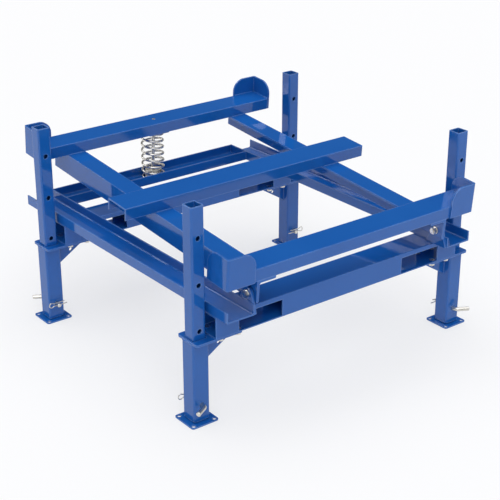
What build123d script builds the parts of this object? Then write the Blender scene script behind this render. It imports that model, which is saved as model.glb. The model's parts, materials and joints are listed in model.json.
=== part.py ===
import math
import os
from build123d import *

os.makedirs("parts", exist_ok=True)

# Driving sizes in millimetres. X runs across the stand, Y to the rear, Z up from the floor.
guide_clear_x = 1092.2
guide_clear_y = 1282.7
tilt_angle = 4.58
beam_bottom = 306.0
section_width = 111.1

# Clearances
run_gap = 0.4
bolt_gap = 0.15
pin_gap = 0.8

# Cross beams with fork openings, a little forward of the leg lines
beam_height = 81.0
beam_wall = 4.76
beam_corner = 2.4
beam_root = 1.0
beam_shift = -5.0
beam_overhang = 1.9
fork_edge = 92.7
fork_width = 181.9
fork_crown = 17.0
leg_reach = 40.4
leg_setback = 162.3
beam_half_length = guide_clear_x / 2 + beam_overhang
beam_top = beam_bottom + beam_height
beam_floor = beam_bottom + beam_wall
fork_outer = beam_half_length - fork_edge
fork_inner = fork_outer - fork_width
fork_top = beam_top - fork_crown
leg_x = beam_half_length + leg_reach
leg_y = guide_clear_y / 2 - leg_setback

# Legs
post_side = 50.8
post_wall = 4.76
post_top = 768.3
post_holes = (66.0, 172.8, 335.6, 498.4, 661.2)
sleeve_side = 63.5
sleeve_wall = 4.76
tube_corner = 6.5
tube_root = 1.7
foot_side = 108.0
foot_thickness = 4.76
foot_corner = 10.0
foot_hole = 14.0
foot_edge = 12.0
foot_spacing = foot_side - 2 * foot_edge
sleeve_lift = 4.3
sleeve_bottom = foot_thickness + sleeve_lift
leg_plate_thickness = 7.94
leg_plate_reach = 33.0
leg_plate_corner = 10.0
leg_plate_margin = 13.0
leg_plate_bore = 54.0
leg_bolt_insets = (101.0, 30.0)
sleeve_top = beam_bottom - leg_plate_thickness
leg_bolt_x = tuple(beam_half_length - inset for inset in leg_bolt_insets)
leg_plate_inner = leg_bolt_x[0] - leg_plate_margin
leg_plate_outer = leg_x + leg_plate_reach
gusset_thickness = 6.35
gusset_depth = 88.9
gusset_nose = 14.9
gusset_step = 3.0
gusset_foot = sleeve_top - gusset_depth
gusset_tip = sleeve_top - gusset_nose
gusset_hole = 13.0

# Leg bolts, flush in the beam floor, with washers and nuts below the leg plate
leg_bolt = 12.7
leg_bolt_y = 37.0
leg_bolt_head = 21.5
leg_bolt_head_height = 4.2
leg_bolt_tail = 1.6
leg_nut_flats = 19.0
leg_nut_height = 6.4
leg_washer = 23.0
leg_washer_thickness = 1.8
leg_bolt_end = sleeve_top - leg_washer_thickness - leg_nut_height - leg_bolt_tail

# Lock pins and their hairpin clips
pin_diameter = 15.9
pin_height = post_holes[0]
pin_inner = 57.0
pin_corner = 47.8
pin_handle = 52.6
pin_handle_angle = 30.0
pin_bend = 16.0
clip_wire = 3.6
clip_reach = 48.0
clip_leg = 36.0
clip_spread = 10.6
clip_ring = 9.5
clip_ring_x = -30.0
clip_fillet = 6.0
clip_arm = 20.0
clip_flare = 12.0
clip_flare_angle = 35.0

# Tilt frame, in its own level coordinates: v to the rear and w up from the pivot
pivot_ahead = 78.95
pivot_rise = 61.5
pivot_back = -(leg_y + pivot_ahead)
pivot_z = beam_top + pivot_rise
deck_w = 101.8
deck_beam_width = 102.4
deck_beam_depth = 44.45
deck_beam_wall = 4.76
guide_front_v = -36.5
guide_rear_v = guide_front_v + guide_clear_y
mid_beam_v = guide_front_v + 0.5 * guide_clear_y
beam_underside = deck_w - deck_beam_depth

# Corner guides
guide_thickness = 6.35
guide_bend = 2.0
guide_leaf = 108.0
guide_leaf_across = 112.0
guide_top = 168.7
guide_round = 50.0
deck_beam_half = guide_clear_x / 2 - guide_bend - run_gap

# Side channels and the rear channel that carries the spring
channel_height = 38.1
channel_wall = 4.76
channel_edge = 2.0
channel_root = 6.5
channel_overhang = 1.0
channel_ahead = 42.0
channel_behind = 9.5
channel_outer = beam_half_length + channel_overhang
channel_inner = channel_outer - section_width
channel_top = beam_top + channel_height
channel_floor = beam_top + channel_wall
channel_front = pivot_back - channel_ahead
channel_rear = pivot_back + guide_rear_v + channel_behind

# Pivot ears and the rails between them
pivot_bolt = 15.9
pivot_flats = 22.0
pivot_head = 10.0
pivot_nut = 12.7
pivot_washer = 27.0
pivot_washer_thickness = 2.5
pivot_tail = 4.0
thrust_space = 2.3
ear_thickness = 9.5
ear_radius = 24.0
ear_front = 40.0
ear_back = 58.0
rail_width = 76.2
rail_thickness = 9.5
rail_root = 8.0
rail_toe = 4.0
rail_outer = channel_inner - ear_thickness - thrust_space
rail_inner = rail_outer - rail_width
rail_leg_inner = rail_outer - rail_thickness
rail_rear_v = guide_rear_v
rail_bottom = channel_top + run_gap - pivot_z

# Lift spring, wound left-handed, with its seats and its guide rod
wire = 9.5
coil_outside = 96.0
coil_quarters = 27
coil_start = 168.0
coil_back = channel_rear - section_width / 2
seat_thickness = 6.35
seat_half_x = 48.0
seat_ahead = 96.0
seat_behind = 14.0
seat_corner = 6.0
seat_front_v = guide_rear_v - seat_ahead
seat_rear_v = guide_rear_v + seat_behind
hub_radius = 34.0
hub_height = 9.0
rod = 13.0
rod_ahead = 49.0
rod_tail = 2.5
rod_v = guide_rear_v - rod_ahead
rod_nut_flats = 21.0
rod_nut_height = 11.0

# The origin lies on the floor under the middle of the whole length.
turn = math.radians(tilt_angle)
v_dir = Vector(0, math.cos(turn), math.sin(turn))
w_dir = Vector(0, -math.sin(turn), math.cos(turn))
guide_face_v = guide_front_v - guide_thickness
foremost = pivot_back + guide_face_v * math.cos(turn) - guide_top * math.sin(turn)
middle = -(foremost + channel_rear) / 2
pivot = Vector(0, middle + pivot_back, pivot_z)
leg_lines = {"front": middle - leg_y, "rear": middle + leg_y}
coil_y = middle + coil_back
sides = {"left": -1, "right": 1}
ends = {"front": -1, "rear": 1}


def save(builder, label):
    builder.part.label = label
    export_step(builder.part, f"parts/{label}.step")
    print(label, len(builder.part.solids()), "solids", round(builder.part.volume / 1000, 1), "cm3")


def deck_side(x):
    return Plane(origin=pivot + Vector(x, 0, 0), x_dir=v_dir, z_dir=(1, 0, 0))


def deck_across(v):
    return Plane(origin=pivot + v_dir * v, x_dir=(1, 0, 0), z_dir=v_dir * -1)


def deck_level(w):
    return Plane(origin=pivot + w_dir * w, x_dir=(1, 0, 0), z_dir=w_dir)


def channel_section(plane, width, height, wall):
    with BuildSketch(plane) as section:
        with Locations((0, height)):
            RectangleRounded(width, 2 * height, channel_edge)
        with Locations((0, height + wall)):
            RectangleRounded(width - 2 * wall, 2 * height, channel_root, mode=Mode.SUBTRACT)
        with Locations((0, 2 * height)):
            Rectangle(2 * width, 2 * height, mode=Mode.SUBTRACT)
    return section.sketch


def tube_section(plane, width, height, wall, corner, root):
    with BuildSketch(plane) as section:
        RectangleRounded(width, height, corner)
        RectangleRounded(width - 2 * wall, height - 2 * wall, root, mode=Mode.SUBTRACT)
    return section.sketch


def hexagon(plane, points, flats, hole):
    with BuildSketch(plane) as section:
        with Locations(*points):
            RegularPolygon(flats / math.sqrt(3), 6)
            if hole:
                Circle(hole / 2, mode=Mode.SUBTRACT)
    return section.sketch


def discs(plane, points, diameter, hole=0):
    with BuildSketch(plane) as section:
        with Locations(*points):
            Circle(diameter / 2)
            if hole:
                Circle(hole / 2, mode=Mode.SUBTRACT)
    return section.sketch


def leg_bolt_points(line_y):
    beam_y = line_y + beam_shift
    return [(s * x, beam_y + t * leg_bolt_y) for s in (-1, 1) for x in leg_bolt_x for t in (-1, 1)]


# Cross beams: rectangular tubes with two fork openings through both walls
for end, line_y in leg_lines.items():
    with BuildPart() as cross_beam:
        beam_y = line_y + beam_shift
        start = Plane((-beam_half_length, beam_y, beam_bottom + beam_height / 2), (0, 1, 0), (1, 0, 0))
        section = tube_section(start, section_width, beam_height, beam_wall, beam_corner, beam_root)
        extrude(section, amount=2 * beam_half_length)
        with BuildSketch(Plane.XZ.offset(-beam_y)):
            fork_middle = (fork_inner + fork_outer) / 2
            with Locations(*[(s * fork_middle, (beam_floor + fork_top) / 2) for s in (-1, 1)]):
                Rectangle(fork_outer - fork_inner, fork_top - beam_floor)
        extrude(amount=section_width, both=True, mode=Mode.SUBTRACT)
        holes = discs(Plane.XY.offset(beam_bottom), leg_bolt_points(line_y), leg_bolt + 2 * bolt_gap)
        extrude(holes, amount=beam_wall, both=True, mode=Mode.SUBTRACT)
        sink_z = beam_floor - leg_bolt_head_height / 2
        small = leg_bolt / 2 + bolt_gap
        large = leg_bolt_head / 2 + bolt_gap
        with Locations(*[(x, y, sink_z) for x, y in leg_bolt_points(line_y)]):
            Cone(small, large, leg_bolt_head_height, mode=Mode.SUBTRACT)
    save(cross_beam, f"{end}_cross_beam")

# Side channels, toes up, along the ends of the cross beams
for side, s in sides.items():
    with BuildPart() as side_channel:
        centre_x = s * (channel_outer + channel_inner) / 2
        start = Plane((centre_x, middle + channel_rear, beam_top), (1, 0, 0), (0, -1, 0))
        section = channel_section(start, section_width, channel_height, channel_wall)
        extrude(section, amount=channel_rear - channel_front)
    save(side_channel, f"{side}_side_channel")

# The guide rod is square to the deck, so the holes it runs through are slots as long as its swing.
rod_top = pivot + v_dir * rod_v + w_dir * deck_w
rod_swing = rod_top.Y + (rod_top.Z - channel_floor) * math.tan(turn)
rod_level = pivot.Y + rod_v
slot_near = min(rod_swing, rod_level) - rod / 2 - pin_gap
slot_far = max(rod_swing, rod_level) + rod / 2 + pin_gap + rod * math.sin(turn)


def rod_slot(plane):
    with BuildSketch(plane) as section:
        with Locations((0, (slot_near + slot_far) / 2)):
            SlotOverall(slot_far - slot_near, rod + 2 * pin_gap, rotation=90)
    return section.sketch


# Rear channel between the side channels, slotted for the guide rod of the spring
with BuildPart() as rear_spring_channel:
    start = Plane((-channel_inner, coil_y, beam_top), (0, 1, 0), (1, 0, 0))
    section = channel_section(start, section_width, channel_height, channel_wall)
    extrude(section, amount=2 * channel_inner)
    extrude(rod_slot(Plane.XY.offset(beam_top)), amount=2 * channel_wall, mode=Mode.SUBTRACT)
save(rear_spring_channel, "rear_spring_channel")

# Legs: top plate, gusset, outer sleeve, inner post, foot, lock pin and clip at each corner
for end, e in ends.items():
    for side, s in sides.items():
        corner = f"{end}_{side}"
        x = s * leg_x
        y = leg_lines[end]

        with BuildPart() as leg_plate:
            with BuildSketch(Plane.XY.offset(sleeve_top)):
                with Locations((s * (leg_plate_outer + leg_plate_inner) / 2, y)):
                    RectangleRounded(leg_plate_outer - leg_plate_inner, section_width, leg_plate_corner)
                with Locations((x, y)):
                    RectangleRounded(leg_plate_bore, leg_plate_bore, tube_corner, mode=Mode.SUBTRACT)
                with Locations(*[p for p in leg_bolt_points(y) if p[0] * s > 0]):
                    Circle(leg_bolt / 2 + bolt_gap, mode=Mode.SUBTRACT)
            extrude(amount=leg_plate_thickness)
        save(leg_plate, f"{corner}_leg_plate")

        with BuildPart() as leg_gusset:
            sleeve_face = leg_x - sleeve_side / 2
            tip_x = leg_plate_inner + gusset_step
            with BuildSketch(Plane.XZ.offset(-y)):
                with BuildLine():
                    Polyline(
                        (s * sleeve_face, sleeve_top),
                        (s * tip_x, sleeve_top),
                        (s * tip_x, gusset_tip),
                        (s * sleeve_face, gusset_foot),
                        close=True,
                    )
                make_face()
                with Locations((s * (sleeve_face + tip_x) / 2, (gusset_foot + gusset_tip) / 2 + gusset_hole)):
                    Circle(gusset_hole / 2, mode=Mode.SUBTRACT)
            extrude(amount=gusset_thickness / 2, both=True)
        save(leg_gusset, f"{corner}_leg_gusset")

        with BuildPart() as leg_sleeve:
            start = Plane((x, y, sleeve_bottom))
            section = tube_section(start, sleeve_side, sleeve_side, sleeve_wall, tube_corner, tube_root)
            extrude(section, amount=sleeve_top - sleeve_bottom)
            bore = discs(Plane.XZ.offset(-y), [(x, pin_height)], pin_diameter + 2 * pin_gap)
            extrude(bore, amount=sleeve_side, both=True, mode=Mode.SUBTRACT)
        save(leg_sleeve, f"{corner}_leg_sleeve")

        with BuildPart() as leg_post:
            start = Plane((x, y, foot_thickness))
            section = tube_section(start, post_side, post_side, post_wall, tube_corner, tube_root)
            extrude(section, amount=post_top - foot_thickness)
            bores = discs(Plane.XZ.offset(-y), [(x, z) for z in post_holes], pin_diameter + 2 * pin_gap)
            extrude(bores, amount=post_side, both=True, mode=Mode.SUBTRACT)
        save(leg_post, f"{corner}_leg_post")

        with BuildPart() as foot_plate:
            with BuildSketch():
                with Locations((x, y)):
                    RectangleRounded(foot_side, foot_side, foot_corner)
                    with GridLocations(foot_spacing, foot_spacing, 2, 2):
                        Circle(foot_hole / 2, mode=Mode.SUBTRACT)
            extrude(amount=foot_thickness)
        save(foot_plate, f"{corner}_foot_plate")

        # The pin enters from outside and its handle leans outward to the side.
        lean = math.radians(pin_handle_angle)
        pin_from = (x, y - e * pin_inner)
        pin_knee = (x, y + e * pin_corner)
        tip_y = y + e * (pin_corner + pin_handle * math.sin(lean))
        pin_to = (x + s * pin_handle * math.cos(lean), tip_y)
        clip_y = y - e * clip_reach
        with BuildPart() as lock_pin:
            with BuildLine(Plane.XY.offset(pin_height)) as path:
                FilletPolyline(pin_from, pin_knee, pin_to, radius=pin_bend)
            with BuildSketch(Plane(origin=path.line @ 0, z_dir=path.line % 0)):
                Circle(pin_diameter / 2)
            sweep(path=path.line)
            for point, bevel in ((pin_from, 2.0), (pin_to, 1.5)):
                rims = lock_pin.edges().filter_by(GeomType.CIRCLE)
                chamfer(rims.sort_by_distance((*point, pin_height))[0], bevel)
            cross = Plane((x, clip_y, pin_height), (0, 1, 0), (1, 0, 0))
            bore = discs(cross, [(0, 0)], clip_wire + 2 * run_gap)
            extrude(bore, amount=pin_diameter, both=True, mode=Mode.SUBTRACT)
        save(lock_pin, f"{corner}_lock_pin")

        # The clip is one bent wire: a straight leg through the pin, a ring outside and a leg over the pin.
        ring_z = clip_spread / 2
        rise = ring_z + clip_fillet
        shift = math.sqrt((clip_ring + clip_fillet) ** 2 - rise**2)
        neck_x = clip_ring_x + shift
        lift = math.degrees(math.atan2(rise, shift))
        with BuildPart() as hairpin_clip:
            with BuildLine(Plane((x, clip_y, pin_height), (-s, 0, 0), (0, s, 0))) as path:
                Line((clip_leg, 0), (neck_x, 0))
                CenterArc((neck_x, -clip_fillet), clip_fillet, 90, 90 - lift)
                CenterArc((clip_ring_x, ring_z), clip_ring, -lift, -(360 - 2 * lift))
                CenterArc((neck_x, clip_spread + clip_fillet), clip_fillet, 180 + lift, 90 - lift)
                Line((neck_x, clip_spread), (clip_arm, clip_spread))
                CenterArc((clip_arm, clip_spread + clip_flare), clip_flare, 270, clip_flare_angle)
            with BuildSketch(Plane(origin=(x - s * clip_leg, clip_y, pin_height), z_dir=(s, 0, 0))):
                Circle(clip_wire / 2)
            sweep(path=path.wires()[0])
        save(hairpin_clip, f"{corner}_hairpin_clip")

# Leg bolts, washers and nuts
all_bolts = [p for line_y in leg_lines.values() for p in leg_bolt_points(line_y)]
with BuildPart() as leg_bolts:
    extrude(discs(Plane.XY.offset(leg_bolt_end), all_bolts, leg_bolt), amount=beam_floor - leg_bolt_end)
    with Locations(*[(x, y, beam_floor - leg_bolt_head_height / 2) for x, y in all_bolts]):
        Cone(leg_bolt / 2, leg_bolt_head / 2, leg_bolt_head_height)
save(leg_bolts, "leg_bolts")

with BuildPart() as leg_washers:
    level = Plane.XY.offset(sleeve_top - leg_washer_thickness)
    extrude(discs(level, all_bolts, leg_washer, leg_bolt + 2 * bolt_gap), amount=leg_washer_thickness)
save(leg_washers, "leg_washers")

with BuildPart() as leg_nuts:
    level = Plane.XY.offset(sleeve_top - leg_washer_thickness - leg_nut_height)
    extrude(hexagon(level, all_bolts, leg_nut_flats, leg_bolt + 2 * bolt_gap), amount=leg_nut_height)
save(leg_nuts, "leg_nuts")

# Hinge ears inside the side channels, with a round top at the pivot
for side, s in sides.items():
    with BuildPart() as hinge_ear:
        ear_x = s * (channel_inner - ear_thickness / 2)
        ear_plane = Plane((ear_x, pivot.Y, pivot_z), (0, 1, 0), (1, 0, 0))
        with BuildSketch(ear_plane):
            with BuildLine():
                Polyline(
                    (-ear_radius, 0),
                    (-ear_front, beam_top - pivot_z),
                    (ear_back, beam_top - pivot_z),
                    (ear_radius, 0),
                    close=True,
                )
            make_face()
            Circle(ear_radius)
            Circle(pivot_bolt / 2 + bolt_gap, mode=Mode.SUBTRACT)
        extrude(amount=ear_thickness / 2, both=True)
    save(hinge_ear, f"{side}_hinge_ear")

# Pivot bolts, heads outside and nuts inside the rails
head_face = channel_inner + pivot_washer_thickness
nut_washer_face = rail_leg_inner - run_gap
nut_face = nut_washer_face - pivot_washer_thickness
with BuildPart() as pivot_bolts:
    for s in (-1, 1):
        seat = Plane((s * head_face, pivot.Y, pivot_z), (0, 1, 0), (s, 0, 0))
        extrude(hexagon(seat, [(0, 0)], pivot_flats, 0), amount=pivot_head)
        extrude(discs(seat, [(0, 0)], pivot_bolt), amount=-(head_face - nut_face + pivot_nut + pivot_tail))
save(pivot_bolts, "pivot_bolts")

with BuildPart() as pivot_nuts:
    for s in (-1, 1):
        seat = Plane((s * nut_face, pivot.Y, pivot_z), (0, 1, 0), (-s, 0, 0))
        extrude(hexagon(seat, [(0, 0)], pivot_flats, pivot_bolt + 2 * bolt_gap), amount=pivot_nut)
save(pivot_nuts, "pivot_nuts")

with BuildPart() as pivot_washers:
    for s in (-1, 1):
        for face, depth in (
            (channel_inner, pivot_washer_thickness),
            (nut_face, pivot_washer_thickness),
            (rail_outer + run_gap, thrust_space - 2 * run_gap),
        ):
            seat = Plane((s * face, pivot.Y, pivot_z), (0, 1, 0), (s, 0, 0))
            extrude(discs(seat, [(0, 0)], pivot_washer, pivot_bolt + 2 * bolt_gap), amount=depth)
save(pivot_washers, "pivot_washers")

# Deck beams of the tilt frame: inverted channels across the rails
front_beam_v = guide_front_v + deck_beam_width / 2
rear_beam_v = guide_rear_v - deck_beam_width / 2
for label, centre_v, half, width in (
    ("front", front_beam_v, deck_beam_half, deck_beam_width),
    ("mid", mid_beam_v, beam_half_length, section_width),
    ("rear", rear_beam_v, deck_beam_half, deck_beam_width),
):
    with BuildPart() as deck_beam:
        corner_point = pivot + v_dir * centre_v + w_dir * deck_w + Vector(-half, 0, 0)
        start = Plane(corner_point, v_dir * -1, (1, 0, 0))
        section = channel_section(start, width, deck_beam_depth, deck_beam_wall)
        extrude(section, amount=2 * half)
        if label == "rear":
            hole = discs(deck_level(deck_w), [(0, rod_v)], rod + 2 * bolt_gap)
            extrude(hole, amount=-2 * deck_beam_wall, mode=Mode.SUBTRACT)
    save(deck_beam, f"{label}_deck_beam")

# Tilt rails: angles with the deep leg outside, bored for the pivot bolts
for side, s in sides.items():
    with BuildPart() as tilt_rail:
        with BuildSketch(deck_across(rail_rear_v)) as section:
            with BuildLine():
                Polyline(
                    (s * rail_inner, beam_underside),
                    (s * rail_outer, beam_underside),
                    (s * rail_outer, rail_bottom),
                    (s * rail_leg_inner, rail_bottom),
                    (s * rail_leg_inner, beam_underside - rail_thickness),
                    (s * rail_inner, beam_underside - rail_thickness),
                    close=True,
                )
            make_face()
            for point, radius in (
                ((s * rail_leg_inner, beam_underside - rail_thickness), rail_root),
                ((s * rail_leg_inner, rail_bottom), rail_toe),
                ((s * rail_inner, beam_underside - rail_thickness), rail_toe),
            ):
                fillet(section.vertices().sort_by_distance(point)[0], radius)
        extrude(amount=rail_rear_v - guide_front_v)
        bore = discs(deck_side(0), [(0, 0)], pivot_bolt + 2 * pin_gap)
        extrude(bore, amount=s * guide_clear_x / 2, mode=Mode.SUBTRACT)
    save(tilt_rail, f"{side}_tilt_rail")

# Corner guides: bent plates round the ends of the front and rear deck beams
for end, e in ends.items():
    for side, s in sides.items():
        inner_x = guide_clear_x / 2
        outer_x = inner_x + guide_thickness
        inner_v = guide_front_v if e < 0 else guide_rear_v
        outer_v = inner_v + e * guide_thickness
        free_x = outer_x - guide_leaf_across
        free_v = outer_v - e * guide_leaf
        with BuildPart() as corner_guide:
            with BuildSketch(deck_level(beam_underside)) as section:
                with BuildLine():
                    Polyline(
                        (s * free_x, outer_v),
                        (s * outer_x, outer_v),
                        (s * outer_x, free_v),
                        (s * inner_x, free_v),
                        (s * inner_x, inner_v),
                        (s * free_x, inner_v),
                        close=True,
                    )
                make_face()
                for point, radius in (
                    ((s * outer_x, outer_v), guide_thickness + guide_bend),
                    ((s * inner_x, inner_v), guide_bend),
                ):
                    fillet(section.vertices().sort_by_distance(point)[0], radius)
            extrude(amount=guide_top - beam_underside)
            for px, pv in ((free_x, (inner_v + outer_v) / 2), ((inner_x + outer_x) / 2, free_v)):
                top_corner = pivot + Vector(s * px, 0, 0) + v_dir * pv + w_dir * guide_top
                short = corner_guide.edges().filter_by(lambda k: abs(k.length - guide_thickness) < 0.05)
                fillet(short.sort_by_distance(top_corner)[0], guide_round)
        save(corner_guide, f"{end}_{side}_corner_guide")

# Upper spring seat under the rear deck beam
seat_underside = beam_underside - seat_thickness
with BuildPart() as upper_spring_seat:
    with BuildSketch(deck_level(seat_underside)):
        with Locations((0, (seat_front_v + seat_rear_v) / 2)):
            RectangleRounded(2 * seat_half_x, seat_rear_v - seat_front_v, seat_corner)
        with Locations((0, rod_v)):
            Circle(rod / 2 + bolt_gap, mode=Mode.SUBTRACT)
    extrude(amount=seat_thickness)
save(upper_spring_seat, "upper_spring_seat")

# Lower spring hub, a slotted disc inside the first turn
with BuildPart() as lower_spring_hub:
    extrude(discs(Plane.XY.offset(channel_floor), [(0, coil_y)], 2 * hub_radius), amount=hub_height)
    rim = lower_spring_hub.edges().group_by(Axis.Z)[-1].sort_by(SortBy.LENGTH)[-1]
    chamfer(rim, 2.0)
    extrude(rod_slot(Plane.XY.offset(channel_floor)), amount=hub_height, mode=Mode.SUBTRACT)
save(lower_spring_hub, "lower_spring_hub")

# Guide rod, flush with the top of the rear beam, and its nut that stops the deck from rising further
nut_tilt = rod_nut_flats / math.sqrt(3) * math.sin(turn)
nut_drop = (rod_top.Z - beam_top + run_gap + nut_tilt) / math.cos(turn)
nut_level = deck_level(deck_w - nut_drop)
with BuildPart() as spring_rod:
    shank = nut_drop + rod_nut_height + rod_tail
    extrude(discs(deck_level(deck_w), [(0, rod_v)], rod), amount=-shank)
    rims = spring_rod.edges().filter_by(GeomType.CIRCLE)
    chamfer(rims.sort_by(Axis.Z)[0], 1.5)
save(spring_rod, "spring_rod")

with BuildPart() as rod_nut:
    nut = hexagon(nut_level, [(0, rod_v)], rod_nut_flats, rod + 2 * bolt_gap)
    extrude(nut, amount=-rod_nut_height)
save(rod_nut, "rod_nut")

# Lift spring: one wire wound on quarter-turn biarcs, with short straight ends
coil_radius = (coil_outside - wire) / 2
seat_z = pivot_z + seat_underside / math.cos(turn)
coil_front = coil_back - coil_outside / 2 - pivot_back
coil_room = seat_z + coil_front * math.tan(turn) - channel_floor - wire - 2 * run_gap
coil_pitch = coil_room / (coil_quarters / 4 + wire / (math.pi * coil_radius))
coil_climb = coil_pitch / (2 * math.pi * coil_radius)
coil_z = channel_floor + wire / 2 + run_gap + wire * coil_climb


def coil_point(quarter):
    angle = math.radians(coil_start - 90 * quarter)
    height = coil_z + coil_pitch * quarter / 4
    return Vector(coil_radius * math.cos(angle), coil_y + coil_radius * math.sin(angle), height)


def coil_tangent(quarter):
    angle = math.radians(coil_start - 90 * quarter)
    return Vector(math.sin(angle), -math.cos(angle), coil_climb).normalized()


with BuildPart() as lift_spring:
    with BuildLine() as path:
        Line(coil_point(0) - coil_tangent(0) * wire, coil_point(0))
        for quarter in range(coil_quarters):
            p1 = coil_point(quarter)
            p2 = coil_point(quarter + 1)
            t1 = coil_tangent(quarter)
            t2 = coil_tangent(quarter + 1)
            chord = p2 - p1
            along = chord.dot(t1 + t2)
            spread = 2 * (1 - t1.dot(t2))
            reach = (-along + math.sqrt(along**2 + spread * chord.dot(chord))) / spread
            joint = (p1 + p2 + (t1 - t2) * reach) / 2
            TangentArc(p1, joint, tangent=t1)
            TangentArc(joint, p2, tangent=(p2 - t2 * reach) - (p1 + t1 * reach))
        Line(coil_point(coil_quarters), coil_point(coil_quarters) + coil_tangent(coil_quarters) * wire)
    with BuildSketch(Plane(origin=path.wire() @ 0, z_dir=coil_tangent(0))):
        Circle(wire / 2)
    sweep(path=path.wire())
save(lift_spring, "lift_spring")

# Least gap of the wound wire to itself, measured on points along it
steps = 24
samples = [coil_point(k / steps) for k in range(coil_quarters * steps + 1)]
least = min(
    (samples[i] - samples[j]).length - wire
    for i in range(len(samples))
    for j in range(i + 2 * steps, len(samples))
)
print("least gap of the spring wire to itself", round(least, 2), "mm")
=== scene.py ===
import json
import math

import bpy
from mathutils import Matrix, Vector


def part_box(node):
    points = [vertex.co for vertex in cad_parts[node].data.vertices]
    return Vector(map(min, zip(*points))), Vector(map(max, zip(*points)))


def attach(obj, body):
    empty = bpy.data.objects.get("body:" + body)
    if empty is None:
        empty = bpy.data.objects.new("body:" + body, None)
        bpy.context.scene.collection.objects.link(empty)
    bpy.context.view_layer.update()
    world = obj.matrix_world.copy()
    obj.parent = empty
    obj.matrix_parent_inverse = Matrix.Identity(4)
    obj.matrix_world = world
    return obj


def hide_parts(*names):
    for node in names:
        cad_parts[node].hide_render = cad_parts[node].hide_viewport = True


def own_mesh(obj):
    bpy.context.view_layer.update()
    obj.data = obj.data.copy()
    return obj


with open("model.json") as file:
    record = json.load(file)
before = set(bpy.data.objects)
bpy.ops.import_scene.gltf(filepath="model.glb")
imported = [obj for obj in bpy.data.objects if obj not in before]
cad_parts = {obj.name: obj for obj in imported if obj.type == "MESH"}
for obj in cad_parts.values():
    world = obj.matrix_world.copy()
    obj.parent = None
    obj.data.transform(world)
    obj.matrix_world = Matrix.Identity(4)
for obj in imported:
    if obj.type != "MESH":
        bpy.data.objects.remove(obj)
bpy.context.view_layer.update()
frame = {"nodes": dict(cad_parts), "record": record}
nodes = frame["nodes"]
print("frame loaded,", len(nodes), "pieces")


def linear(hexColour):
    values = [int(hexColour[i:i + 2], 16) / 255 for i in (1, 3, 5)]
    bent = [v / 12.92 if v <= 0.04045 else ((v + 0.055) / 1.055) ** 2.4 for v in values]
    return (*bent, 1.0)


# a socket is named by its label, or by its number where labels repeat
def addNode(tree, kind, settings=None, links=None):
    node = tree.nodes.new(kind)
    for name, value in (settings or {}).items():
        if isinstance(name, int) or name in node.inputs:
            node.inputs[name].default_value = value
        else:
            setattr(node, name, value)
    for name, source in (links or {}).items():
        tree.links.new(source, node.inputs[name])
    return node


mixFrom, mixTo, mixed = 6, 7, 2  # the colour sockets of a Mix node


def startMaterial(name):
    material = bpy.data.materials.new(name)
    material.use_nodes = True
    material.node_tree.nodes.clear()
    return material, material.node_tree


def perMetre(millimetres):
    return 1000.0 / millimetres


# Blue powder coat: sprayed, baked and glossy, with a faint orange peel and a pale highlight painted
# along its edges and roots
coatLook = {
    "deep": "#1358A8",
    "light": "#1B61B1",
    "cloudMm": 240,
    "cloudDetail": 3.0,
    "roughness": (0.04, 0.09),
    "ior": 1.5,
    # painted highlight: the pale colour laid along edges and into roots
    "edgeHighlight": "#6A94D2",
    "highlightReachMm": 6.0,
    "highlightAt": (0.012, 0.07),  # one less the cosine of the lean
    "highlightSamples": 6,
    "edgeMm": 1.2,
    "edgeSamples": 4,
    "peelMm": 9,  # real peel is about 2 mm, drawn coarser so that it shows
    "peelDetail": 2.0,
    "peelHeight": 0.00004,
    "peelStrength": 0.5,
}


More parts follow.
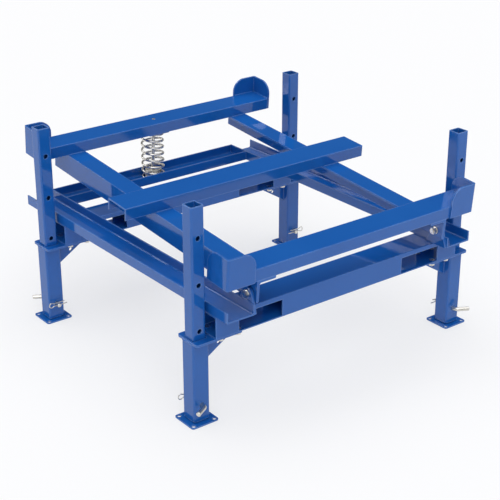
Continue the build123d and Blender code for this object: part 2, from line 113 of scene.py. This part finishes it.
def makeBlueCoat(look):
    material, tree = startMaterial("bluePowderCoat")
    place = addNode(tree, "ShaderNodeTexCoord")
    cloud = addNode(tree, "ShaderNodeTexNoise",
                    {"Scale": perMetre(look["cloudMm"]), "Detail": look["cloudDetail"]},
                    {"Vector": place.outputs["Object"]})
    colour = addNode(tree, "ShaderNodeMix",
                     {"data_type": "RGBA", mixFrom: linear(look["deep"]),
                      mixTo: linear(look["light"])},
                     {"Factor": cloud.outputs["Fac"]})
    sheen = addNode(tree, "ShaderNodeMapRange",
                    {"To Min": look["roughness"][0], "To Max": look["roughness"][1]},
                    {"Value": cloud.outputs["Fac"]})
    # near an edge the widely rounded normal leans off the true one, and there a pale highlight is
    # painted into the coat, on outer edges and roots alike
    wide = addNode(tree, "ShaderNodeBevel",
                   {"samples": look["highlightSamples"], "Radius": look["highlightReachMm"] / 1000})
    flat = addNode(tree, "ShaderNodeNewGeometry")
    turn = addNode(tree, "ShaderNodeVectorMath", {"operation": "DOT_PRODUCT"},
                   {0: wide.outputs["Normal"], 1: flat.outputs["Normal"]})
    lean = addNode(tree, "ShaderNodeMath", {"operation": "SUBTRACT", 0: 1.0},
                   {1: turn.outputs["Value"]})
    edge = addNode(tree, "ShaderNodeMapRange",
                   {"From Min": look["highlightAt"][0], "From Max": look["highlightAt"][1]},
                   {"Value": lean.outputs["Value"]})
    # painted highlight: the edge mask, broken up by the cloud, mixes the pale colour into the coat
    highlightShare = addNode(tree, "ShaderNodeMath", {"operation": "MULTIPLY"},
                  {0: edge.outputs["Result"], 1: cloud.outputs["Fac"]})
    coat = addNode(tree, "ShaderNodeMix", {"data_type": "RGBA", mixTo: linear(look["edgeHighlight"])},
                   {"Factor": highlightShare.outputs["Value"], mixFrom: colour.outputs[mixed]})
    # the gloss breaks on slightly rounded edges and on the peel
    rounded = addNode(tree, "ShaderNodeBevel",
                      {"samples": look["edgeSamples"], "Radius": look["edgeMm"] / 1000})
    peel = addNode(tree, "ShaderNodeTexNoise",
                   {"Scale": perMetre(look["peelMm"]), "Detail": look["peelDetail"]},
                   {"Vector": place.outputs["Object"]})
    bump = addNode(tree, "ShaderNodeBump",
                   {"Strength": look["peelStrength"], "Distance": look["peelHeight"]},
                   {"Height": peel.outputs["Fac"], "Normal": rounded.outputs["Normal"]})
    shader = addNode(tree, "ShaderNodeBsdfPrincipled", {"IOR": look["ior"]},
                     {"Base Color": coat.outputs[mixed], "Roughness": sheen.outputs["Result"],
                      "Normal": bump.outputs["Normal"]})
    addNode(tree, "ShaderNodeOutputMaterial", None, {"Surface": shader.outputs["BSDF"]})
    return material


# Bright zinc plate on turned steel: pale, slightly warm, with soft spangle
zincLook = {
    "dark": "#C2BFB6",
    "light": "#ECE9E1",
    "spangleMm": 7,
    "spangleDetail": 4.0,
    "roughness": (0.22, 0.36),
    "metallic": 1.0,
}

# Drawn spring wire, plated: warmer and a little shinier than the fasteners
wireLook = {
    "dark": "#CBC7BE",
    "light": "#F6F3EC",
    "spangleMm": 12,
    "spangleDetail": 4.0,
    "roughness": (0.18, 0.3),
    "metallic": 1.0,
}


def makePlatedSteel(name, look):
    material, tree = startMaterial(name)
    place = addNode(tree, "ShaderNodeTexCoord")
    spangle = addNode(tree, "ShaderNodeTexNoise",
                      {"Scale": perMetre(look["spangleMm"]), "Detail": look["spangleDetail"]},
                      {"Vector": place.outputs["Object"]})
    colour = addNode(tree, "ShaderNodeMix",
                     {"data_type": "RGBA", mixFrom: linear(look["dark"]),
                      mixTo: linear(look["light"])},
                     {"Factor": spangle.outputs["Fac"]})
    sheen = addNode(tree, "ShaderNodeMapRange",
                    {"To Min": look["roughness"][0], "To Max": look["roughness"][1]},
                    {"Value": spangle.outputs["Fac"]})
    shader = addNode(tree, "ShaderNodeBsdfPrincipled", {"Metallic": look["metallic"]},
                     {"Base Color": colour.outputs[mixed], "Roughness": sheen.outputs["Result"]})
    addNode(tree, "ShaderNodeOutputMaterial", None, {"Surface": shader.outputs["BSDF"]})
    return material


blueCoat = makeBlueCoat(coatLook)
zincSteel = makePlatedSteel("zincPlatedSteel", zincLook)
springWire = makePlatedSteel("platedSpringWire", wireLook)
finishes = {"blue_coat": blueCoat, "zinc_steel": zincSteel, "spring_steel": springWire}

for part in frame["record"]["subparts"]:
    piece = nodes[part["node"]]
    piece.data.materials.clear()
    piece.data.materials.append(finishes[part["material_slot"]])
print("finishes given to", len(nodes), "pieces")

# Weld beads: short rippled runs in the corners where plates and tubes meet, coated with the rest
beadLook = {
    "radius": 0.0036,
    "sides": 10,
    "rippleMm": 3.2,
    "rippleDepth": 0.00045,
    "fewestRipples": 2,
    "endRound": 0.0018,
    "endShare": 0.9,  # of half a ripple, the most that an end is rounded
    "endSegments": 2,
}


def pickEdges(piece, test):
    bpy.context.tool_settings.mesh_select_mode = (False, True, False)
    for point in piece.data.vertices:
        point.select = False
    for face in piece.data.polygons:
        face.select = False
    for line in piece.data.edges:
        ends = [piece.data.vertices[i].co for i in line.vertices]
        line.select = test(ends[0], ends[1])


def applyTransform():
    bpy.ops.object.transform_apply(location=True, rotation=True, scale=True)


def turnOutward():
    bpy.ops.object.mode_set(mode="EDIT")
    bpy.ops.mesh.select_all(action="SELECT")
    bpy.ops.mesh.normals_make_consistent(inside=False)
    bpy.ops.object.mode_set(mode="OBJECT")


def makeBead(start, end, radius=beadLook["radius"]):
    along = end - start
    bpy.ops.object.select_all(action="DESELECT")
    bpy.ops.mesh.primitive_cylinder_add(vertices=beadLook["sides"], radius=radius,
                                        depth=along.length, location=(start + end) / 2,
                                        rotation=along.to_track_quat("Z", "Y").to_euler())
    bead = bpy.context.object
    half = along.length / 2
    ripples = max(beadLook["fewestRipples"], round(along.length * 1000 / beadLook["rippleMm"]))
    pickEdges(bead, lambda p, q: abs(p.z - q.z) > half)
    bpy.ops.object.mode_set(mode="EDIT")
    bpy.ops.mesh.subdivide(number_cuts=2 * ripples - 1)
    bpy.ops.object.mode_set(mode="OBJECT")
    step = along.length / (2 * ripples)
    # every second ring is drawn in, which leaves the ripples of the weld
    pickEdges(bead, lambda p, q: abs(p.z - q.z) < step / 2 and abs(p.z) < half - step / 2
              and round((p.z + half) / step) % 2 == 1)
    bpy.ops.object.mode_set(mode="EDIT")
    bpy.ops.transform.shrink_fatten(value=-beadLook["rippleDepth"])
    bpy.ops.object.mode_set(mode="OBJECT")
    pickEdges(bead, lambda p, q: abs(p.z - q.z) < step / 2 and abs(p.z) > half - step / 2)
    bpy.ops.object.mode_set(mode="EDIT")
    bpy.ops.mesh.bevel(offset=min(beadLook["endRound"], step * beadLook["endShare"]),
                       segments=beadLook["endSegments"])
    bpy.ops.object.mode_set(mode="OBJECT")
    applyTransform()
    return bead


def joinBeads(name, beads):
    bpy.ops.object.select_all(action="DESELECT")
    for bead in beads:
        bead.select_set(True)
    bpy.context.view_layer.objects.active = beads[0]
    bpy.ops.object.join()
    welds = bpy.context.object
    welds.name = name
    welds.data.name = name
    applyTransform()
    bpy.ops.object.shade_smooth()
    return welds


def copyWelds(welds, name, shift=(0, 0, 0), mirrorX=False):
    bpy.ops.object.select_all(action="DESELECT")
    welds.select_set(True)
    bpy.context.view_layer.objects.active = welds
    bpy.ops.object.duplicate(linked=False)
    copied = bpy.context.object
    copied.name = name
    copied.data.name = name
    bpy.ops.transform.translate(value=shift)
    applyTransform()
    if mirrorX:
        copied.scale.x = -1
        applyTransform()
        turnOutward()
    return copied


def finishWelds(welds, body):
    welds.data.materials.clear()
    welds.data.materials.append(blueCoat)
    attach(welds, body)


def boxOf(node):
    low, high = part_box(node)
    return Vector(low), Vector(high)


# Leg welds: sleeve to top plate, gusset to both, post to foot
legWeldLook = {
    "tubeCorner": 0.0065,  # the welder stops short of the round corners
    "footBead": 0.0038,
    "endGap": 0.004,
}


def ringSeams(low, high, z, corner):
    west, east, south, north = low.x, high.x, low.y, high.y
    return [
        (Vector((west + corner, south, z)), Vector((east - corner, south, z))),
        (Vector((west + corner, north, z)), Vector((east - corner, north, z))),
        (Vector((west, south + corner, z)), Vector((west, north - corner, z))),
        (Vector((east, south + corner, z)), Vector((east, north - corner, z))),
    ]


def makeLegWelds(leg, look):
    sleeveLow, sleeveHigh = boxOf(leg + "_leg_sleeve")
    postLow, postHigh = boxOf(leg + "_leg_post")
    gussetLow, gussetHigh = boxOf(leg + "_leg_gusset")
    footTop = boxOf(leg + "_foot_plate")[1].z
    gap = look["endGap"]
    beads = [makeBead(*seam)
             for seam in ringSeams(sleeveLow, sleeveHigh, sleeveHigh.z, look["tubeCorner"])]
    beads += [makeBead(*seam, radius=look["footBead"])
              for seam in ringSeams(postLow, postHigh, footTop, look["tubeCorner"])]
    for y in (gussetLow.y, gussetHigh.y):
        beads.append(makeBead(Vector((gussetLow.x + gap, y, gussetHigh.z)),
                              Vector((gussetHigh.x - gap, y, gussetHigh.z))))
        beads.append(makeBead(Vector((gussetLow.x, y, gussetLow.z + gap)),
                              Vector((gussetLow.x, y, gussetHigh.z - gap))))
    return joinBeads(leg + "_leg_welds", beads)


frontLeft = makeLegWelds("front_left", legWeldLook)
legShift = boxOf("rear_left_leg_post")[0] - boxOf("front_left_leg_post")[0]
legWelds = [
    frontLeft,
    copyWelds(frontLeft, "front_right_leg_welds", mirrorX=True),
    copyWelds(frontLeft, "rear_left_leg_welds", shift=legShift),
    copyWelds(frontLeft, "rear_right_leg_welds", shift=legShift, mirrorX=True),
]
for welds in legWelds:
    finishWelds(welds, "stand")
print("leg welds laid")

# Frame welds on the left half: side channel to both cross beams, hinge ear to the front beam and
# the side channel, rear channel to the side channel
frameWeldLook = {
    "endGap": 0.006,
    "wall": 0.0048,
    "earRun": (-0.034, 0.022),  # along the top of the flange, from the middle of the ear
    "earBead": 0.003,
    "rootGap": 0.012,  # clears the flanges and roots of the rear channel
}


def makeFrameWelds(look):
    channelLow, channelHigh = boxOf("left_side_channel")
    rearLow, rearHigh = boxOf("rear_spring_channel")
    earLow, earHigh = boxOf("left_hinge_ear")
    gap = look["endGap"]
    inner, level, rise = channelHigh.x, channelLow.z, channelHigh.z
    beads = []
    for beam in ("front_cross_beam", "rear_cross_beam"):
        beamLow, beamHigh = boxOf(beam)
        first = max(beamLow.y, earHigh.y) if beam.startswith("front") else beamLow.y
        beads.append(makeBead(Vector((inner, first + gap, level)),
                              Vector((inner, beamHigh.y - gap, level))))
        for y in (beamLow.y, beamHigh.y):
            beads.append(makeBead(Vector((beamLow.x + gap, y, level)),
                                  Vector((inner - gap, y, level))))
    frontFace = boxOf("front_cross_beam")[0].y
    beads.append(makeBead(Vector((earHigh.x, frontFace + gap, level)),
                          Vector((earHigh.x, earHigh.y - gap, level))))
    middle = (earLow.y + earHigh.y) / 2
    beads.append(makeBead(Vector((inner, middle + look["earRun"][0], rise)),
                          Vector((inner, middle + look["earRun"][1], rise)),
                          radius=look["earBead"]))
    beads.append(makeBead(Vector((inner, rearLow.y, level + gap)),
                          Vector((inner, rearLow.y, rise - gap))))
    floor = level + look["wall"]
    beads.append(makeBead(Vector((inner, rearLow.y + look["rootGap"], floor)),
                          Vector((inner, rearHigh.y - look["rootGap"], floor))))
    return joinBeads("left_frame_welds", beads)


leftFrame = makeFrameWelds(frameWeldLook)
for welds in (leftFrame, copyWelds(leftFrame, "right_frame_welds", mirrorX=True)):
    finishWelds(welds, "stand")
print("frame welds laid")

# Deck welds on the left half: beams to rail, beam ends to corner guides, all in the tilted deck
deckLook = {
    "tilt": 4.58,
    "top": 0.1018,
    "underside": 0.05735,
    "front": -0.0365,
    "rear": 1.2462,
    "beamWidth": 0.1024,
    "midWidth": 0.1111,
    "leaf": 0.098,
    "leafGap": 0.0012,  # from the beam's end out to the bead along the guide's side
    "endGap": 0.006,
}
joints = {joint["name"]: joint for joint in frame["record"]["behaviour"]["joints"]}
pivotPlace = Vector(joints["tilt_pivot"]["pos_m"])


# x across, v back along the deck and w square to it, from the tilt pivot
def deckPoint(look, x, v, w):
    tilt = math.radians(look["tilt"])
    return Vector((x, pivotPlace.y + v * math.cos(tilt) - w * math.sin(tilt),
                   pivotPlace.z + v * math.sin(tilt) + w * math.cos(tilt)))


def makeDeckWelds(look):
    railLow, railHigh = boxOf("left_tilt_rail")
    end = boxOf("front_deck_beam")[0].x
    gap, top, underside = look["endGap"], look["top"], look["underside"]
    middle = (look["front"] + look["rear"]) / 2
    faces = [
        look["front"] + look["beamWidth"],
        middle - look["midWidth"] / 2,
        middle + look["midWidth"] / 2,
        look["rear"] - look["beamWidth"],
    ]
    beads = [makeBead(deckPoint(look, railLow.x + gap, v, underside),
                      deckPoint(look, railHigh.x - gap, v, underside)) for v in faces]
    side = end - look["leafGap"]
    for edge, inward in ((look["front"], 1), (look["rear"], -1)):
        beads.append(makeBead(deckPoint(look, end + gap, edge, top),
                              deckPoint(look, end + look["leaf"], edge, top)))
        beads.append(makeBead(deckPoint(look, side, edge + inward * gap, top),
                              deckPoint(look, side, edge + inward * look["leaf"], top)))
    return joinBeads("left_deck_welds", beads)


leftDeck = makeDeckWelds(deckLook)
for welds in (leftDeck, copyWelds(leftDeck, "right_deck_welds", mirrorX=True)):
    finishWelds(welds, "tilt_frame")
print("deck welds laid")

# Lift spring: one plated wire wound left-handed with straight cut ends
springLook = {
    "wire": 0.0095,
    "outside": 0.096,
    "turns": 6.75,
    "firstAngle": 168,
    "sides": 20,
    "stepsPerTurn": 48,
    "rimReach": 0.51,  # in wire thicknesses, how near its centre an end's rim is looked for
    "rimSlack": 0.01,
    "endRound": 0.0009,
    "endSegments": 2,
    "smoothAngle": 40,
    "pressedHeight": 0.107,  # the room under its seat when the deck lies level
}


def onRim(look, point, centre, across):
    away = point - centre
    return (away.length < look["rimReach"] * look["wire"]
            and abs(away.dot(across)) < look["rimSlack"] * look["wire"])


def makeSpring(look):
    low, high = boxOf("lift_spring")
    wire = look["wire"]
    radius = (look["outside"] - wire) / 2
    pitch = (high.z - low.z - wire) / (look["turns"] + wire / (math.pi * radius))
    climb = pitch / (2 * math.pi * radius)
    sweep = -2 * math.pi * look["turns"]
    firstAngle = math.radians(look["firstAngle"])
    bpy.ops.object.select_all(action="DESELECT")
    bpy.ops.mesh.primitive_circle_add(vertices=look["sides"], radius=wire / 2,
                                      location=(radius, 0, 0), rotation=(math.pi / 2, 0, 0))
    spring = bpy.context.object
    spring.name = "lift_spring_wire"
    spring.data.name = spring.name
    applyTransform()
    spring.rotation_euler.z = firstAngle
    applyTransform()
    winding = spring.modifiers.new("winding", "SCREW")
    winding.axis = "Z"
    winding.angle = sweep
    winding.screw_offset = pitch * look["turns"]
    winding.steps = round(look["turns"] * look["stepsPerTurn"])
    winding.render_steps = winding.steps
    bpy.ops.object.modifier_apply(modifier=winding.name)
    # both ends run on straight for one wire thickness, and their rims are broken
    for angle, height, way in ((firstAngle, 0, -1), (firstAngle + sweep, pitch * look["turns"], 1)):
        centre = Vector((radius * math.cos(angle), radius * math.sin(angle), height))
        across = Vector((math.sin(angle), -math.cos(angle), 0))
        along = Vector((math.sin(angle), -math.cos(angle), climb)).normalized() * way
        pickEdges(spring, lambda p, q: onRim(look, p, centre, across)
                  and onRim(look, q, centre, across))
        bpy.ops.object.mode_set(mode="EDIT")
        bpy.ops.mesh.extrude_edges_move(TRANSFORM_OT_translate={"value": along * wire})
        bpy.ops.mesh.edge_face_add()
        bpy.ops.mesh.bevel(offset=look["endRound"], segments=look["endSegments"])
        bpy.ops.object.mode_set(mode="OBJECT")
    turnOutward()
    spring.location = (0, (low.y + high.y) / 2, low.z + wire / 2 + wire * climb)
    applyTransform()
    bpy.ops.object.shade_smooth_by_angle(angle=math.radians(look["smoothAngle"]))
    spring.data.materials.append(springWire)
    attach(spring, "stand")
    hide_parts("lift_spring")
    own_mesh(spring)
    print("spring wound,", len(spring.data.vertices), "points")


makeSpring(springLook)

# Lower spring hub: the photograph shows it a little higher than the channel's edge, so a copy of
# the disc is drawn up
hubLook = {
    "raise": 0.0287,
    "joinWithin": 0.00001,  # doubled points of the copied disc are merged
    "smoothAngle": 30,
}


def makeHub(look):
    low, high = boxOf("lower_spring_hub")
    bpy.ops.object.select_all(action="DESELECT")
    hub = bpy.data.objects.new("raised_spring_hub", nodes["lower_spring_hub"].data.copy())
    hub.data.name = hub.name
    bpy.context.collection.objects.link(hub)
    hub.select_set(True)
    bpy.context.view_layer.objects.active = hub
    bpy.ops.object.mode_set(mode="EDIT")
    bpy.ops.mesh.select_all(action="SELECT")
    bpy.ops.mesh.remove_doubles(threshold=look["joinWithin"])
    bpy.ops.object.mode_set(mode="OBJECT")
    half = (low.z + high.z) / 2
    pickEdges(hub, lambda p, q: p.z > half and q.z > half)
    bpy.ops.object.mode_set(mode="EDIT")
    bpy.ops.transform.translate(value=(0, 0, look["raise"]))
    bpy.ops.object.mode_set(mode="OBJECT")
    bpy.ops.object.shade_smooth_by_angle(angle=math.radians(look["smoothAngle"]))
    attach(hub, "stand")
    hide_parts("lower_spring_hub")
    print("hub raised to", round(max(v.co.z for v in hub.data.vertices), 4), "m")


makeHub(hubLook)

# Pale floor: matt, and for the lens and the gloss partly white paper, so that shadows stay light
floorLook = {
    "size": 40.0,
    "drop": 0.0005,
    "colour": "#F4F4F4",
    "roughness": 0.9,
    "gloss": 0.0,
    "paper": 0.6,
    "paperGlow": 1.0,
}


def makeFloor(look):
    bpy.ops.object.select_all(action="DESELECT")
    bpy.ops.mesh.primitive_plane_add(size=look["size"], location=(0, 0, -look["drop"]))
    floor = bpy.context.object
    floor.name = "floor"
    material, tree = startMaterial("paleFloor")
    matt = addNode(tree, "ShaderNodeBsdfPrincipled",
                   {"Base Color": linear(look["colour"]), "Roughness": look["roughness"],
                    "Specular IOR Level": look["gloss"]})
    path = addNode(tree, "ShaderNodeLightPath")
    seen = addNode(tree, "ShaderNodeMath", {"operation": "MAXIMUM"},
                   {0: path.outputs["Is Camera Ray"], 1: path.outputs["Is Glossy Ray"]})
    share = addNode(tree, "ShaderNodeMath", {"operation": "MULTIPLY", 1: look["paper"]},
                    {0: seen.outputs["Value"]})
    white = addNode(tree, "ShaderNodeEmission", {"Strength": look["paperGlow"]})
    both = addNode(tree, "ShaderNodeMixShader", None,
                   {0: share.outputs["Value"], 1: matt.outputs["BSDF"],
                    2: white.outputs["Emission"]})
    addNode(tree, "ShaderNodeOutputMaterial", None, {"Surface": both.outputs["Shader"]})
    floor.data.materials.append(material)


makeFloor(floorLook)
print("floor laid")

# Studio light: a pale backdrop round the floor, a dim gap, a wide soft ceiling and a soft lamp
# from the front left. Two soft boxes behind on the left show in gloss alone: the wide one where
# one face mirrors another, the small one as a bright line in the round roots of the channels
lightLook = {
    "backdrop": 0.42,
    "backdropEdge": (0.33, 0.43),  # sine of the height above the horizon
    "room": 0.06,
    "ceiling": 1.58,
    "ceilingEdge": (0.55, 0.8),
    "air": "#FAFBFF",
    "sunFrom": (-1.0, -1.5, 1.3),
    "sunStrength": 0.68,
    "sunAngle": 40,
    # a box's edge is the cosine of the angle from its middle
    "softBoxes": (
        {"from": (-0.6735, 0.6064, 0.4226), "edge": (0.970, 0.996), "strength": 9.0,
         "bouncesPast": 1.5},
        {"from": (-0.245, 0.755, 0.608), "edge": (0.9860, 0.9985), "strength": 5.5,
         "bouncesPast": 0.5},
    ),
}


def addRamp(tree, value, edge, levels):
    return addNode(tree, "ShaderNodeMapRange",
                   {"interpolation_type": "SMOOTHSTEP", "From Min": edge[0], "From Max": edge[1],
                    "To Min": levels[0], "To Max": levels[1]},
                   {"Value": value})


def makeLight(look):
    world = bpy.data.worlds.new("studioAir")
    world.use_nodes = True
    tree = world.node_tree
    tree.nodes.clear()
    place = addNode(tree, "ShaderNodeTexCoord")
    parts = addNode(tree, "ShaderNodeSeparateXYZ", None, {"Vector": place.outputs["Generated"]})
    low = addRamp(tree, parts.outputs["Z"], look["backdropEdge"], (look["backdrop"], look["room"]))
    high = addRamp(tree, parts.outputs["Z"], look["ceilingEdge"], (0.0, look["ceiling"]))
    level = addNode(tree, "ShaderNodeMath", {"operation": "ADD"},
                    {0: low.outputs["Result"], 1: high.outputs["Result"]})
    path = addNode(tree, "ShaderNodeLightPath")
    for box in look["softBoxes"]:
        near = addNode(tree, "ShaderNodeVectorMath",
                       {"operation": "DOT_PRODUCT", 1: Vector(box["from"]).normalized()},
                       {0: place.outputs["Generated"]})
        glow = addRamp(tree, near.outputs["Value"], box["edge"], (0.0, box["strength"]))
        late = addNode(tree, "ShaderNodeMath",
                       {"operation": "GREATER_THAN", 1: box["bouncesPast"]},
                       {0: path.outputs["Glossy Depth"]})
        shown = addNode(tree, "ShaderNodeMath", {"operation": "MULTIPLY"},
                        {0: glow.outputs["Result"], 1: late.outputs["Value"]})
        level = addNode(tree, "ShaderNodeMath", {"operation": "ADD"},
                        {0: level.outputs["Value"], 1: shown.outputs["Value"]})
    air = addNode(tree, "ShaderNodeBackground", {"Color": linear(look["air"])},
                  {"Strength": level.outputs["Value"]})
    addNode(tree, "ShaderNodeOutputWorld", None, {"Surface": air.outputs["Background"]})
    bpy.context.scene.world = world
    data = bpy.data.lights.new("frontLamp", "SUN")
    data.energy = look["sunStrength"]
    data.angle = math.radians(look["sunAngle"])
    lamp = bpy.data.objects.new("frontLamp", data)
    lamp.rotation_euler = (-Vector(look["sunFrom"])).to_track_quat("-Z", "Y").to_euler()
    bpy.context.scene.collection.objects.link(lamp)


makeLight(lightLook)
bpy.context.scene.view_settings.view_transform = "Standard"
print("light set")

# Camera where the photograph was taken from
cameraLook = {
    "place": (-2.6680, -3.5043, 2.2171),
    "direction": (0.5592, 0.7241, -0.4038),
    "lens": 91.01,
    "sensor": 36.0,
}
cameraData = bpy.data.cameras.new("camera")
cameraData.lens = cameraLook["lens"]
cameraData.sensor_width = cameraLook["sensor"]
camera = bpy.data.objects.new("camera", cameraData)
camera.location = cameraLook["place"]
camera.rotation_euler = Vector(cameraLook["direction"]).to_track_quat("-Z", "Y").to_euler()
bpy.context.scene.collection.objects.link(camera)
bpy.context.scene.camera = camera
